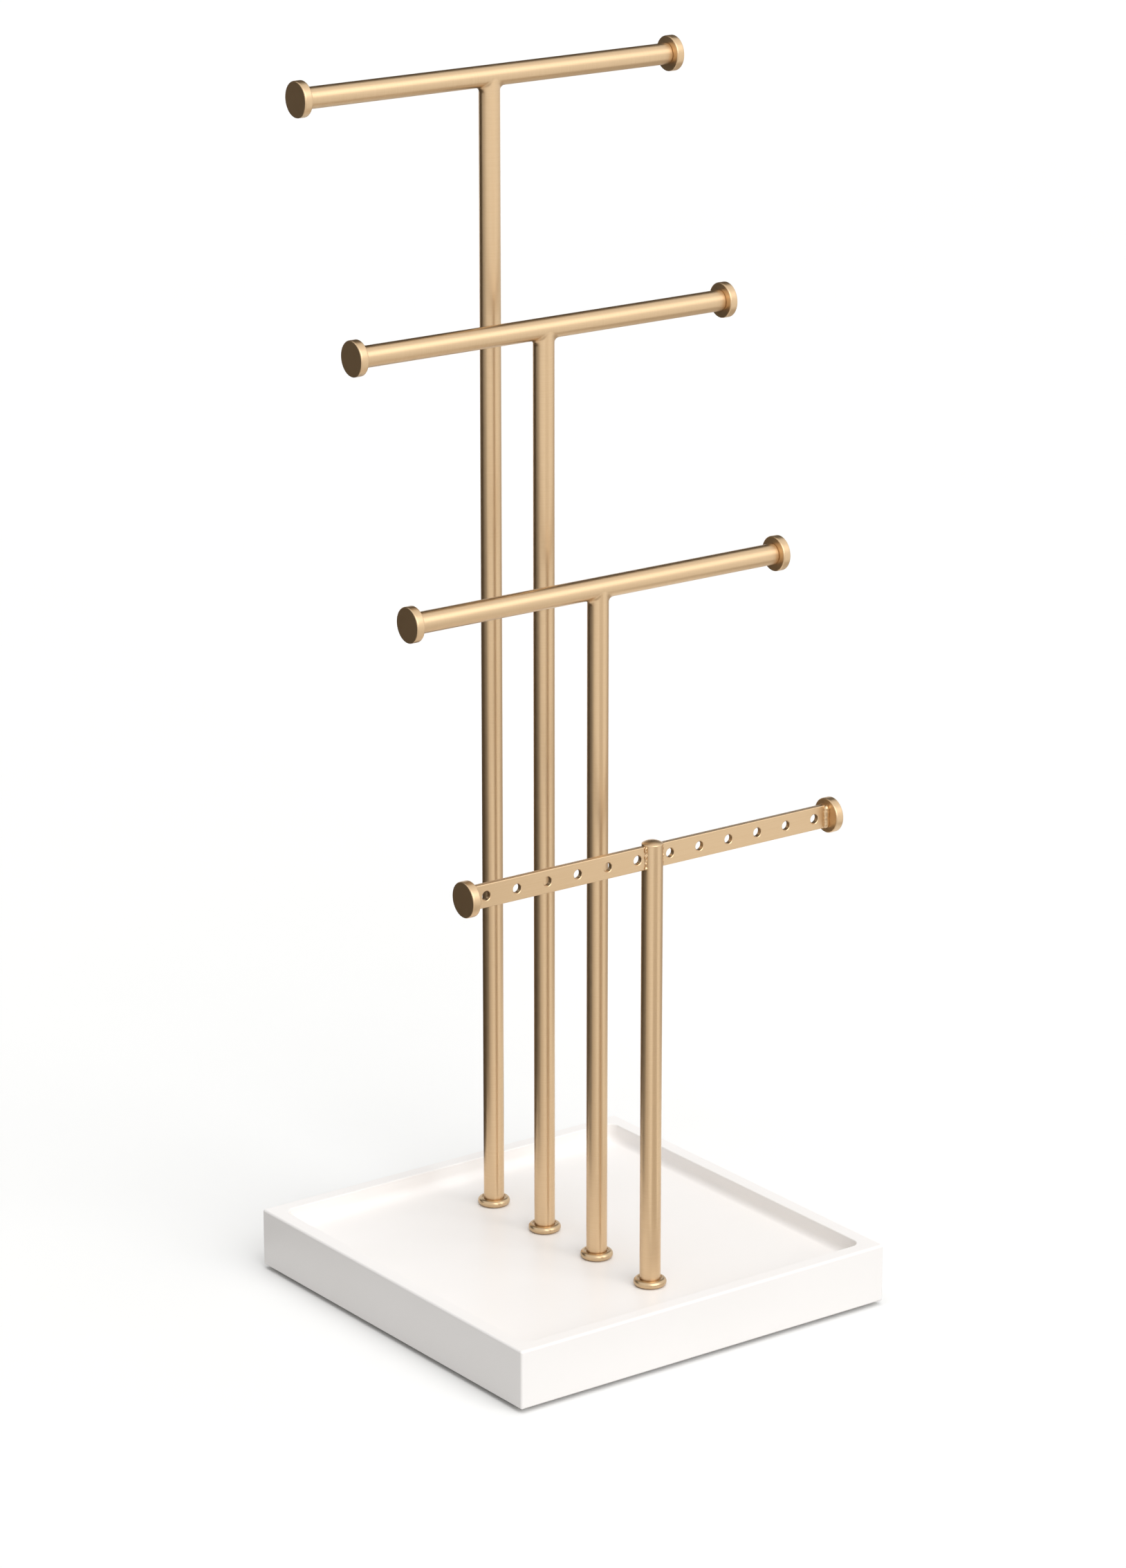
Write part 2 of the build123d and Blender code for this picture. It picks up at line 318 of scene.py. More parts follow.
def close_piece(piece):
    """Leave edit mode and shade the piece smooth, with its wide faces kept flat."""
    select_only(piece)
    bpy.ops.object.shade_smooth_by_angle(angle=SMOOTH_ANGLE)
    bpy.ops.object.modifier_add(type="WEIGHTED_NORMAL")
    piece.modifiers[-1].keep_sharp = True
    bpy.ops.object.modifier_apply(modifier=piece.modifiers[-1].name)
    return piece


def combine(piece, tool, operation):
    """Cut a tool out of a piece, or weld it on, and remove the tool."""
    select_only(piece)
    bpy.ops.object.modifier_add(type="BOOLEAN")
    modifier = piece.modifiers[-1]
    modifier.operation = operation
    modifier.solver = "EXACT"
    modifier.object = tool
    bpy.ops.object.modifier_apply(modifier=modifier.name)
    bpy.data.objects.remove(tool)
    bpy.ops.object.mode_set(mode="EDIT")
    bpy.ops.mesh.select_all(action="SELECT")
    bpy.ops.mesh.remove_doubles(threshold=MERGE_GAP)
    bpy.ops.object.mode_set(mode="OBJECT")


def copy_piece(master, name, place):
    """A copy of a piece with its own mesh, put in its place by a matrix."""
    select_only(master)
    bpy.ops.object.duplicate(linked=False)
    piece = bpy.context.object
    piece.name = name
    piece.data.name = name
    piece.data.transform(place)
    return piece


def seat_piece(piece, node, finish):
    """Finish a closed piece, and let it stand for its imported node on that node's body."""
    mesh = bmesh.new()
    mesh.from_mesh(piece.data)
    open_edges = sum(not edge.is_manifold for edge in mesh.edges)
    mesh.free()
    if open_edges:
        raise RuntimeError(f"{piece.name} has {open_edges} open edges")
    low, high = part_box(node)
    for vertex in piece.data.vertices:
        if any(not low[i] - STAND_OUT <= vertex.co[i] <= high[i] + STAND_OUT for i in range(3)):
            raise RuntimeError(f"{piece.name} leaves the space of {node}")
    piece.data.materials.clear()
    piece.data.materials.append(finish)
    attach(piece, frame["nodes"][node]["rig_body"])
    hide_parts(node)


def seat_copies(master, first, names, finish):
    """Copy a piece that was modelled at the first node to each node of a table with piece names, and remove it."""
    pieces = []
    for node, name in names.items():
        piece = copy_piece(master, name, Matrix.Translation(middle_of(node) - middle_of(first)))
        seat_piece(piece, node, finish)
        pieces.append(piece)
    bpy.data.objects.remove(master)
    return pieces


def arc(centre, radius, start, end, steps):
    """Points of an arc in a profile, as radius and height, from one angle to another."""
    angles = [start + (end - start) * step / steps for step in range(steps + 1)]
    return [(centre[0] + radius * math.cos(a), centre[1] + radius * math.sin(a)) for a in angles]


def spin_profile(name, foot, profile, steps=ROUND_STEPS):
    """Draw a profile from one vertex beside an upright axis and spin it into a solid, left open for editing."""
    piece = begin_piece(name, bpy.ops.mesh.primitive_plane_add, size=MM, location=foot)
    bpy.ops.mesh.merge(type="CENTER")
    radius, height = profile[0]
    bpy.ops.transform.translate(value=(radius, 0, height))
    for next_radius, next_height in profile[1:]:
        move = (next_radius - radius, 0, next_height - height)
        bpy.ops.mesh.extrude_region_move(TRANSFORM_OT_translate={"value": move})
        radius, height = next_radius, next_height
    bpy.ops.mesh.select_all(action="SELECT")
    bpy.ops.mesh.spin(steps=steps, angle=FULL_TURN, center=foot, axis=(0, 0, 1))
    bpy.ops.mesh.select_all(action="SELECT")
    bpy.ops.mesh.remove_doubles(threshold=TOUCH)
    bpy.ops.mesh.normals_make_consistent(inside=False)
    return piece


def begin_cylinder(name, centre, length, radius, turn):
    """A cylinder about a centre, left open for editing."""
    return begin_piece(
        name, bpy.ops.mesh.primitive_cylinder_add, vertices=ROUND_STEPS, radius=radius, depth=length,
        location=centre, rotation=turn)


def begin_tube(name, centre, length, radius, wall, turn=(0, 0, 0)):
    """A length of tube, left open: a cylinder with its ends inset by the wall and bridged through."""
    piece = begin_cylinder(name, centre, length, radius, turn)
    pick("FACE", lambda face: len(face.verts) == ROUND_STEPS)
    bpy.ops.mesh.inset(thickness=wall)
    bpy.ops.mesh.bridge_edge_loops()
    return piece


def weld_bead(centre, radius, length, lump):
    """An upright weld bead: a stretched ball with rings along it, moved out and in by its lumps."""
    piece = begin_piece(
        "bead", bpy.ops.mesh.primitive_uv_sphere_add, segments=BEAD_SIDES, ring_count=BEAD_RINGS, radius=radius,
        location=centre)
    stretch = length / 2 - radius
    for way in (1, -1):
        pick("VERT", lambda vertex: (vertex.co.z - centre.z) * way > 0)
        bpy.ops.transform.translate(value=(0, 0, way * stretch))
    pick("EDGE", lambda edge: abs(edge.verts[0].co.z - edge.verts[1].co.z) > stretch)
    bpy.ops.mesh.subdivide(number_cuts=BEAD_CUTS)
    lump_size = 0.9 * MM
    mesh = bmesh.from_edit_mesh(piece.data)
    for vertex in mesh.verts:
        outward = Vector((vertex.co.x - centre.x, vertex.co.y - centre.y, 0))
        # Noise runs from -1 to 1, and is shifted so that most lumps are hollows
        rise = noise.noise(vertex.co / lump_size) - 0.5
        vertex.co += outward / radius * rise * lump
    bmesh.update_edit_mesh(piece.data)
    return piece


def weld_corners(piece, centre, across, along, *bead):
    """Weld four upright beads to a piece, one at each corner of a rectangle about a centre."""
    for side in SIDES.values():
        for row in ROWS.values():
            place = Vector((side * across, row * along, 0))
            combine(piece, weld_bead(centre + place, *bead), "UNION")


# Finishes

def add_node(tree, kind, sockets=None, feeds=None, **settings):
    """Add a node, set its options, give its sockets a value or a link, and link its outputs to what they feed."""
    node = tree.nodes.new(kind)
    for name, value in settings.items():
        setattr(node, name, value)
    for name, value in (sockets or {}).items():
        if isinstance(value, bpy.types.NodeSocket):
            tree.links.new(value, node.inputs[name])
        else:
            node.inputs[name].default_value = value
    for name, socket in (feeds or {}).items():
        tree.links.new(node.outputs[name], socket)
    return node


def new_finish(name, sockets):
    """A material with constant sockets of its shader set; returns it, its tree, shader and object coordinates."""
    finish = bpy.data.materials.new(name)
    finish.use_nodes = True
    tree = finish.node_tree
    shader = tree.nodes["Principled BSDF"]
    for socket, value in sockets.items():
        shader.inputs[socket].default_value = value
    spot = add_node(tree, "ShaderNodeTexCoord").outputs["Object"]
    return finish, tree, shader, spot


def mottle(tree, shader, spot, tones, roughness, size, detail, distortion=0.0, relief=None):
    """Let noise of a real size blend two colours, move the roughness and raise a relief of a strength and height."""
    pattern = add_node(tree, "ShaderNodeTexNoise", {
        "Vector": spot, "Scale": 1 / size, "Detail": detail, "Distortion": distortion}).outputs["Fac"]
    add_node(
        tree, "ShaderNodeMix", {"Factor": pattern, MIX_FIRST: tones[0], MIX_SECOND: tones[1]},
        {MIX_COLOUR: shader.inputs["Base Color"]}, data_type="RGBA")
    smooth, rough = roughness
    add_node(
        tree, "ShaderNodeMapRange",
        {"Value": pattern, "From Min": NOISE_LOW, "From Max": NOISE_HIGH, "To Min": smooth, "To Max": rough},
        {"Result": shader.inputs["Roughness"]})
    if relief:
        strength, height = relief
        add_node(
            tree, "ShaderNodeBump", {"Height": pattern, "Strength": strength, "Distance": height},
            {"Normal": shader.inputs["Normal"]})


def sprayed_lacquer(colours):
    """White satin lacquer sprayed on board: an even, soft gloss with a faint orange peel and no grain."""
    finish, tree, shader, spot = new_finish("white_satin_lacquer_on_board", {"IOR": 1.5})
    tones = (colours.lacquer, colours.lacquer_shade)
    mottle(tree, shader, spot, tones, roughness=(0.34, 0.42), size=45 * MM, detail=3.0)
    # Orange peel is about 1.5 mm from crest to crest and a few thousandths high
    peel = add_node(tree, "ShaderNodeTexNoise", {"Vector": spot, "Scale": 1 / (1.5 * MM), "Detail": 1.0})
    add_node(
        tree, "ShaderNodeBump", {"Height": peel.outputs["Fac"], "Strength": 0.25, "Distance": 0.012 * MM},
        {"Normal": shader.inputs["Normal"]})
    return finish


def brushed_gold(colours, name, line_spacing, turned_about=None):
    """Champagne gold plating on brushed steel: soft streaked highlights, with fine lines along the wide spacing."""
    finish, tree, shader, spot = new_finish(f"gold_plated_steel_{name}", {"Metallic": 1.0})
    if turned_about:
        # The belt runs round the tube, so the highlight is drawn out along it
        shader.inputs["Anisotropic"].default_value = 0.45
        shader.inputs["Anisotropic Rotation"].default_value = 0.25
        add_node(
            tree, "ShaderNodeTangent", feeds={"Tangent": shader.inputs["Tangent"]}, direction_type="RADIAL",
            axis=turned_about)
    # Belt lines are finer than 0.1 mm, and are drawn several times as coarse so that they show
    stretch = add_node(
        tree, "ShaderNodeMapping", {"Vector": spot, "Scale": [1 / spacing for spacing in line_spacing]})
    tones = (colours.gold_shade, colours.gold)
    mottle(
        tree, shader, stretch.outputs["Vector"], tones, roughness=(0.38, 0.31), size=1.0, detail=3.0,
        relief=(0.15, 0.006 * MM))
    return finish


def polished_gold(colours):
    """Gold-plated ring, buffed: brighter and sharper than the posts, with faint handling smudges."""
    finish, tree, shader, spot = new_finish("polished_gold_plate", {"Metallic": 1.0})
    tones = (colours.ring_gold, colours.ring_smudge)
    mottle(tree, shader, spot, tones, roughness=(0.29, 0.34), size=2.5 * MM, detail=2.0)
    return finish


def zinc_plate(colours):
    """Zinc-plated steel: cool grey with a yellowish bloom in small patches and a dull sheen."""
    finish, tree, shader, spot = new_finish("zinc_plated_steel", {"Metallic": 1.0})
    tones = (colours.zinc, colours.zinc_bloom)
    mottle(
        tree, shader, spot, tones, roughness=(0.28, 0.42), size=1.8 * MM, detail=4.0, relief=(0.15, 0.01 * MM))
    return finish


def turned_brass(colours):
    """Free-cutting brass off the lathe: bright yellow with fine tool rings and duller patches."""
    finish, tree, shader, spot = new_finish("turned_brass", {"Metallic": 1.0})
    tones = (colours.brass, colours.brass_tarnish)
    mottle(tree, shader, spot, tones, roughness=(0.25, 0.4), size=2.0 * MM, detail=3.0)
    # Tool rings every 0.2 mm up the insert
    rings = add_node(
        tree, "ShaderNodeTexWave", {"Vector": spot, "Scale": 1 / (0.2 * MM) / FULL_TURN, "Distortion": 0.5},
        bands_direction="Z")
    add_node(
        tree, "ShaderNodeBump", {"Height": rings.outputs["Fac"], "Strength": 0.2, "Distance": 0.01 * MM},
        {"Normal": shader.inputs["Normal"]})
    return finish


def wool_felt(colours):
    """Pressed wool felt: no gloss, with short crossing fibres in two greys and a soft halo at grazing angles."""
    finish, tree, shader, spot = new_finish(
        "pressed_wool_felt", {"Sheen Weight": 0.35, "Sheen Roughness": 0.6, "Specular IOR Level": 0.2})
    # Fibres are about 0.03 mm thick, and are drawn ten times as coarse so that they show
    tones = (colours.felt, colours.felt_fleck)
    mottle(
        tree, shader, spot, tones, roughness=(0.95, 1.0), size=0.35 * MM, detail=4.0, distortion=2.5,
        relief=(0.7, 0.08 * MM))
    return finish


def matt_card(name, tones):
    """Matt studio card: even and dull, with the faint cloudiness of uncoated paper."""
    finish, tree, shader, spot = new_finish(name, {"Specular IOR Level": 0.1})
    mottle(tree, shader, spot, tones, roughness=(0.9, 0.95), size=120 * MM, detail=2.0)
    return finish


def seen_rays(tree):
    """Socket that is 1 for rays from the camera and from reflections, and 0 for light on its way to a surface."""
    path = add_node(tree, "ShaderNodeLightPath")
    rays = {0: path.outputs["Is Camera Ray"], 1: path.outputs["Is Glossy Ray"]}
    return add_node(tree, "ShaderNodeMath", rays, operation="MAXIMUM").outputs["Value"]


def background_paper(colours):
    """Uncoated white paper: white in picture and metal, while the light that it throws back is greyer."""
    finish = matt_card("white_background_paper", (colours.floor, colours.floor_shade))
    tree = finish.node_tree
    base = tree.nodes["Principled BSDF"].inputs["Base Color"]
    add_node(
        tree, "ShaderNodeMix",
        {"Factor": seen_rays(tree), MIX_FIRST: colours.floor_bounce, MIX_SECOND: base.links[0].from_socket},
        {MIX_COLOUR: base}, data_type="RGBA")
    return finish


# Pieces

class TREE_OT_tray(bpy.types.Operator):
    """Lacquer the routed tray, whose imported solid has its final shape"""
    bl_idname = "tree.tray"
    bl_label = "Tray"

    def execute(self, context):
        frame["nodes"]["tray"].material_slots[0].material = sprayed_lacquer(context.scene.tree_colours)
        return {"FINISHED"}


class TREE_OT_foot_pads(bpy.types.Operator):
    """Model one felt pad with a soft rim and an uneven face, and copy it under each corner"""
    bl_idname = "tree.foot_pads"
    bl_label = "Foot Pads"

    def execute(self, context):
        sizes = context.scene.tree_sizes
        finish = wool_felt(context.scene.tree_colours)
        first = "foot_pad_front_left"
        foot = foot_of(first)
        radius = size_of(first).x / 2 - sizes.pad_fuzz
        height = size_of(first).z
        soft = sizes.pad_round
        face_rings = 8
        inner_rings = [(radius - soft) * step / face_rings for step in range(face_rings + 1)]
        profile = [(reach, 0) for reach in inner_rings]
        profile += arc((radius - soft, soft), soft, -QUARTER_TURN, 0, EDGE_STEPS)[1:]
        side_shares = (0.5, 0.75, 1.0)
        profile += [(radius, height * share) for share in side_shares]
        profile += [(reach, height) for reach in reversed(inner_rings)]
        master = spin_profile("felt_pad", foot, profile, SMALL_STEPS)
        mesh = bmesh.from_edit_mesh(master.data)
        fuzz_size = 0.6 * MM
        for vertex in mesh.verts:
            out = Vector((vertex.co.x - foot.x, vertex.co.y - foot.y, 0))
            if out.length > radius - soft:
                vertex.co += out.normalized() * noise.noise(vertex.co / fuzz_size) * sizes.pad_fuzz
            elif vertex.co.z < foot.z + TOUCH:
                vertex.co.z += abs(noise.noise(vertex.co / fuzz_size)) * sizes.pad_fuzz
        bmesh.update_edit_mesh(master.data)
        names = {f"foot_pad_{row}_{side}": f"felt_pad_{row}_{side}" for row in ROWS for side in SIDES}
        for pad in seat_copies(close_piece(master), first, names, finish):
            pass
        return {"FINISHED"}


class TREE_OT_foot_rings(bpy.types.Operator):
    """Spin one polished foot ring with its half-round side and its groove, and copy it to each post"""
    bl_idname = "tree.foot_rings"
    bl_label = "Foot Rings"

    def execute(self, context):
        sizes = context.scene.tree_sizes
        finish = polished_gold(context.scene.tree_colours)
        foot = foot_of("top_collar")
        height = size_of("top_collar").z
        half = height / 2
        round_start = size_of("top_collar").x / 2 - half
        bore = size_of("earring_post_plug").x / 2 + sizes.seat_gap
        groove = bore + sizes.groove_width
        lip_share = 0.9
        lip = (round_start - groove) * lip_share
        profile = arc((round_start, half), half, -QUARTER_TURN, QUARTER_TURN, HALF_ROUND_STEPS)
        profile += arc((groove + lip, height - lip), lip, QUARTER_TURN, math.pi, EDGE_STEPS)
        profile += [(groove, height - sizes.groove_depth), (bore, height - sizes.groove_depth), (bore, 0)]
        profile += [(round_start, 0)]
        master = close_piece(spin_profile("foot_ring", foot, profile))
        names = {f"{stand}_collar": f"{stand}_foot_ring" for stand in STANDS}
        seat_copies(master, "top_collar", names, finish)
        return {"FINISHED"}


class TREE_OT_fixings(bpy.types.Operator):
    """Model one cross-head screw with its thread, one washer and one ringed insert, and copy them to each post"""
    bl_idname = "tree.fixings"
    bl_label = "Fixings"

    def screw(self, sizes):
        """A pan-head machine screw, head down, with a tapered cross recess and a rolled thread."""
        low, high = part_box("top_screw")
        foot = foot_of("top_screw")
        length = high.z - low.z
        head_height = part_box("top_washer")[0].z - low.z
        head_radius = size_of("top_screw").x / 2
        head_round = head_height / 2
        shank_radius = head_radius / 2
        root_radius = shank_radius - sizes.thread_depth
        tip = sizes.thread_depth
        profile = [(0, 0), (head_radius - head_round, 0)]
        profile += arc((head_radius - head_round, head_round), head_round, -QUARTER_TURN, 0, 2 * EDGE_STEPS)[1:]
        profile += [(head_radius, head_height), (root_radius, head_height), (root_radius, length - tip)]
        profile += [(root_radius - tip, length), (0, length)]
        screw = spin_profile("screw", foot, profile, SMALL_STEPS)
        # Thread: one tooth, swept up the shank as a helix
        pitch = sizes.thread_pitch
        tooth = begin_piece(
            "thread", bpy.ops.mesh.primitive_circle_add, vertices=3, radius=pitch / 2, fill_type="NOTHING")
        buried = root_radius - sizes.thread_depth / 2
        flank = 0.45
        corners = [(buried, -flank), (shank_radius, 0), (buried, flank)]
        mesh = bmesh.from_edit_mesh(tooth.data)
        for vertex, (reach, share) in zip(mesh.verts, corners):
            vertex.co = (reach, 0, share * pitch)
        bmesh.update_edit_mesh(tooth.data)
        bpy.ops.object.mode_set(mode="OBJECT")
        turns = math.floor((length - head_height - 2 * tip) / pitch) - 1
        bpy.ops.object.modifier_add(type="SCREW")
        sweep = tooth.modifiers[-1]
        sweep.screw_offset = pitch
        sweep.iterations = turns
        sweep.steps = sweep.render_steps = THREAD_STEPS
        bpy.ops.object.modifier_apply(modifier=sweep.name)
        tooth.data.transform(Matrix.Translation(foot + Vector((0, 0, head_height + pitch))))
        bpy.ops.object.mode_set(mode="EDIT")
        bpy.ops.mesh.select_all(action="SELECT")
        bpy.ops.mesh.fill_holes(sides=3)
        bpy.ops.mesh.normals_make_consistent(inside=False)
        combine(screw, tooth, "UNION")
        # Cross recess: two slots that narrow towards their floor
        slot_length, slot_width, taper = 1.1 * head_radius, 0.25 * head_radius, 0.6
        for turn in (0, QUARTER_TURN):
            slot = begin_piece(
                "slot", bpy.ops.mesh.primitive_cube_add, size=1, location=foot, rotation=(0, 0, turn),
                scale=(slot_length, slot_width, head_height))
            pick("FACE", lambda face: face.normal.z > FACING)
            bpy.ops.transform.resize(value=(taper, taper, 1), center_override=foot)
            combine(screw, slot, "DIFFERENCE")
        return close_piece(screw)

    def washer(self, sizes):
        """A stamped washer with softened rims."""
        centre = middle_of("top_washer")
        length = size_of("top_washer").z
        radius = size_of("top_washer").x / 2
        # The screw's shank is half as wide as its head, and passes with room to spare
        hole = size_of("top_screw").x / 4 + 5 * sizes.seat_gap
        washer = begin_tube("washer", centre, length, radius, radius - hole)
        round_rings(centre, 2, radius, (-length / 2, length / 2), sizes.washer_round)
        return close_piece(washer)

    def insert(self, sizes):
        """A turned insert with three bands that grip the tube."""
        foot = foot_of("top_insert")
        length = size_of("top_insert").z
        radius = size_of("top_insert").x / 2
        bore = size_of("top_screw").x / 4 + sizes.seat_gap
        waist = radius - sizes.knurl_depth
        profile = [(bore, 0), (waist, 0), (radius, sizes.knurl_depth)]
        wide = 2 * sizes.knurl_depth
        groove_shares = (0.3, 0.65)
        for share in groove_shares:
            groove = length * share
            profile += [(radius, groove - wide), (waist, groove - wide / 2), (waist, groove + wide / 2)]
            profile += [(radius, groove + wide)]
        profile += [(radius, length - sizes.knurl_depth), (waist, length), (bore, length), (bore, 0)]
        return close_piece(spin_profile("insert", foot, profile))

    def execute(self, context):
        sizes = context.scene.tree_sizes
        colours = context.scene.tree_colours
        zinc = zinc_plate(colours)
        brass = turned_brass(colours)
        kinds = (
            ("screw", "fixing_screw", "zinc_steel", zinc, self.screw(sizes)),
            ("washer", "flat_washer", "zinc_steel", zinc, self.washer(sizes)),
            ("insert", "ringed_insert", "insert_brass", brass, self.insert(sizes)),
        )
        for kind, label, slot, finish, master in kinds:
            names = {f"{stand}_{kind}": f"{stand}_{label}" for stand in STANDS}
            seat_copies(master, f"top_{kind}", names, finish)
        return {"FINISHED"}


class TREE_OT_round_posts(bpy.types.Operator):
    """Draw each tube post up from its foot, and flow its coped top into the bar with the weld's hollow"""
    bl_idname = "tree.round_posts"
    bl_label = "Round Posts"

    def weld_point(self, angle, share, post_radius, bar_radius, weld):
        """Point of the weld at an angle round the post, from the post at share 0 to the bar at share 1.

        The weld's hollow is what a ball of its radius leaves as it rolls along the corner of post and bar."""
        reach = post_radius + weld
        across = reach * math.sin(angle)
        ball = Vector((reach * math.cos(angle), across, -math.sqrt((bar_radius + weld) ** 2 - across**2)))
        on_post = Vector((post_radius * math.cos(angle), post_radius * math.sin(angle), ball.z))
        pull = bar_radius / (bar_radius + weld)
        on_bar = Vector((ball.x, ball.y * pull, ball.z * pull))
        sweep = (on_post - ball).angle(on_bar - ball)
        start_share = math.sin((1 - share) * sweep) / math.sin(sweep)
        end_share = math.sin(share * sweep) / math.sin(sweep)
        return ball + (on_post - ball) * start_share + (on_bar - ball) * end_share

    def extrude_ring(self, piece, place):
        """Extrude the open ring and put each new vertex where its angle round the post says."""
        bpy.ops.mesh.extrude_region_move()
        mesh = bmesh.from_edit_mesh(piece.data)
        turn = mesh.verts.layers.float["turn"]
        for vertex in mesh.verts:
            if vertex.select:
                vertex.co = place(vertex[turn])
        bmesh.update_edit_mesh(piece.data)

    def execute(self, context):
        sizes = context.scene.tree_sizes
        finish = brushed_gold(
            context.scene.tree_colours, "brushed_round_posts", (TUBE_RUN, TUBE_RUN, LINE_GAP), "Z")
        post_radius = size_of("earring_post_plug").x / 2
        bore = post_radius - sizes.tube_wall
        foot_radius = post_radius - sizes.foot_chamfer
        for stand in ROUND_STANDS:
            node = f"{stand}_post"
            bar_radius = size_of(f"{stand}_bar").z / 2
            axis = middle_of(f"{stand}_bar")
            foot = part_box(node)[0].z

            def at_radius(radius, height):
                return lambda angle: Vector((radius * math.cos(angle), axis.y + radius * math.sin(angle), height))

            def on_weld(share):
                return lambda angle: axis + self.weld_point(
                    angle, share, post_radius, bar_radius, sizes.weld_radius)

            def on_cope(angle):
                depth = math.sqrt(bar_radius**2 - (bore * math.sin(angle)) ** 2)
                return axis + Vector((bore * math.cos(angle), bore * math.sin(angle), -depth))

            post = begin_piece(
                f"{stand}_welded_post", bpy.ops.mesh.primitive_circle_add, vertices=2 * ROUND_STEPS,
                radius=foot_radius, fill_type="NOTHING", location=(axis.x, axis.y, foot))
            mesh = bmesh.from_edit_mesh(post.data)
            turn = mesh.verts.layers.float.new("turn")
            for vertex in mesh.verts:
                vertex[turn] = math.atan2(vertex.co.y - axis.y, vertex.co.x - axis.x)
            bmesh.update_edit_mesh(post.data)
            self.extrude_ring(post, at_radius(post_radius, foot + sizes.foot_chamfer))
            for step in range(WELD_STEPS + 1):
                self.extrude_ring(post, on_weld(step / WELD_STEPS))
            self.extrude_ring(post, on_cope)
            self.extrude_ring(post, at_radius(bore, foot))
            pick("EDGE", lambda edge: edge.is_boundary)
            bpy.ops.mesh.bridge_edge_loops()
            bpy.ops.mesh.select_all(action="SELECT")
            bpy.ops.mesh.normals_make_consistent(inside=False)
            mesh = bmesh.from_edit_mesh(post.data)
            mesh.verts.layers.float.remove(mesh.verts.layers.float["turn"])
            bmesh.update_edit_mesh(post.data)
            seat_piece(close_piece(post), node, finish)
        return {"FINISHED"}


class TREE_OT_round_bars(bpy.types.Operator):
    """Model one round bar as a tube with softened ends, and copy it to each round stand"""
    bl_idname = "tree.round_bars"
    bl_label = "Round Bars"

    def execute(self, context):
        sizes = context.scene.tree_sizes
        finish = brushed_gold(
            context.scene.tree_colours, "brushed_round_bars", (LINE_GAP, TUBE_RUN, TUBE_RUN), "X")
        centre = middle_of("top_bar")
        length = size_of("top_bar").x
        radius = size_of("top_bar").z / 2
        master = begin_tube("round_bar", centre, length, radius, sizes.tube_wall, (0, QUARTER_TURN, 0))
        round_rings(centre, 0, radius, (-length / 2, length / 2), sizes.bar_end_round)
        names = {f"{stand}_bar": f"{stand}_round_bar" for stand in ROUND_STANDS}
        seat_copies(close_piece(master), "top_bar", names, finish)
        return {"FINISHED"}


class TREE_OT_end_discs(bpy.types.Operator):
    """Turn one end cap with its spigot and one plain end disc, and copy them to the bar ends"""
    bl_idname = "tree.end_discs"
    bl_label = "End Discs"

    def disc(self, name, node, sizes, spigot_radius=0):
        """A left-hand disc with rounded rims, and a spigot into the bar where a radius is given."""
        low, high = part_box(node)
        radius = size_of(node).z / 2
        thickness = size_of("earring_disc_left").x
        centre = middle_of(node)
        centre.x = low.x + thickness / 2
        disc = begin_cylinder(name, centre, thickness, radius, (0, QUARTER_TURN, 0))
        round_rings(centre, 0, radius, (-thickness / 2, thickness / 2), sizes.rim_round)
        pick("FACE", lambda face: face.normal.x > FACING and len(face.verts) == ROUND_STEPS)
        if spigot_radius:
            bpy.ops.mesh.inset(thickness=radius - sizes.rim_round - spigot_radius)
            spigot = high.x - low.x - thickness
            bpy.ops.mesh.extrude_region_move(TRANSFORM_OT_translate={"value": (spigot, 0, 0)})
            round_rings(centre, 0, spigot_radius, (high.x - centre.x,), sizes.spigot_chamfer, 1)
        return close_piece(disc)

    def execute(self, context):
        sizes = context.scene.tree_sizes
        # Discs are faced on a lathe, too finely for rings to show, so they get a short even grain
        finish = brushed_gold(context.scene.tree_colours, "satin_discs", SATIN_GRAIN)
        spigot_radius = size_of("top_bar").z / 2 - sizes.tube_wall - sizes.seat_gap
        cap = self.disc("end_cap", "top_cap_left", sizes, spigot_radius)
        disc = self.disc("end_disc", "earring_disc_left", sizes)
        for stand in STANDS:
            master, kind = (disc, "disc") if stand == "earring" else (cap, "cap")
            start = middle_of("earring_disc_left" if stand == "earring" else "top_cap_left")
            for side, sign in SIDES.items():
                node = f"{stand}_{kind}_{side}"
                about = Matrix.Rotation(math.pi if sign > 0 else 0, 4, "Z")
                place = Matrix.Translation(middle_of(node)) @ about @ Matrix.Translation(-start)
                piece = copy_piece(master, f"{stand}_end_{kind}_{side}", place)
                seat_piece(piece, node, finish)
        bpy.data.objects.remove(cap)
        bpy.data.objects.remove(disc)
        return {"FINISHED"}


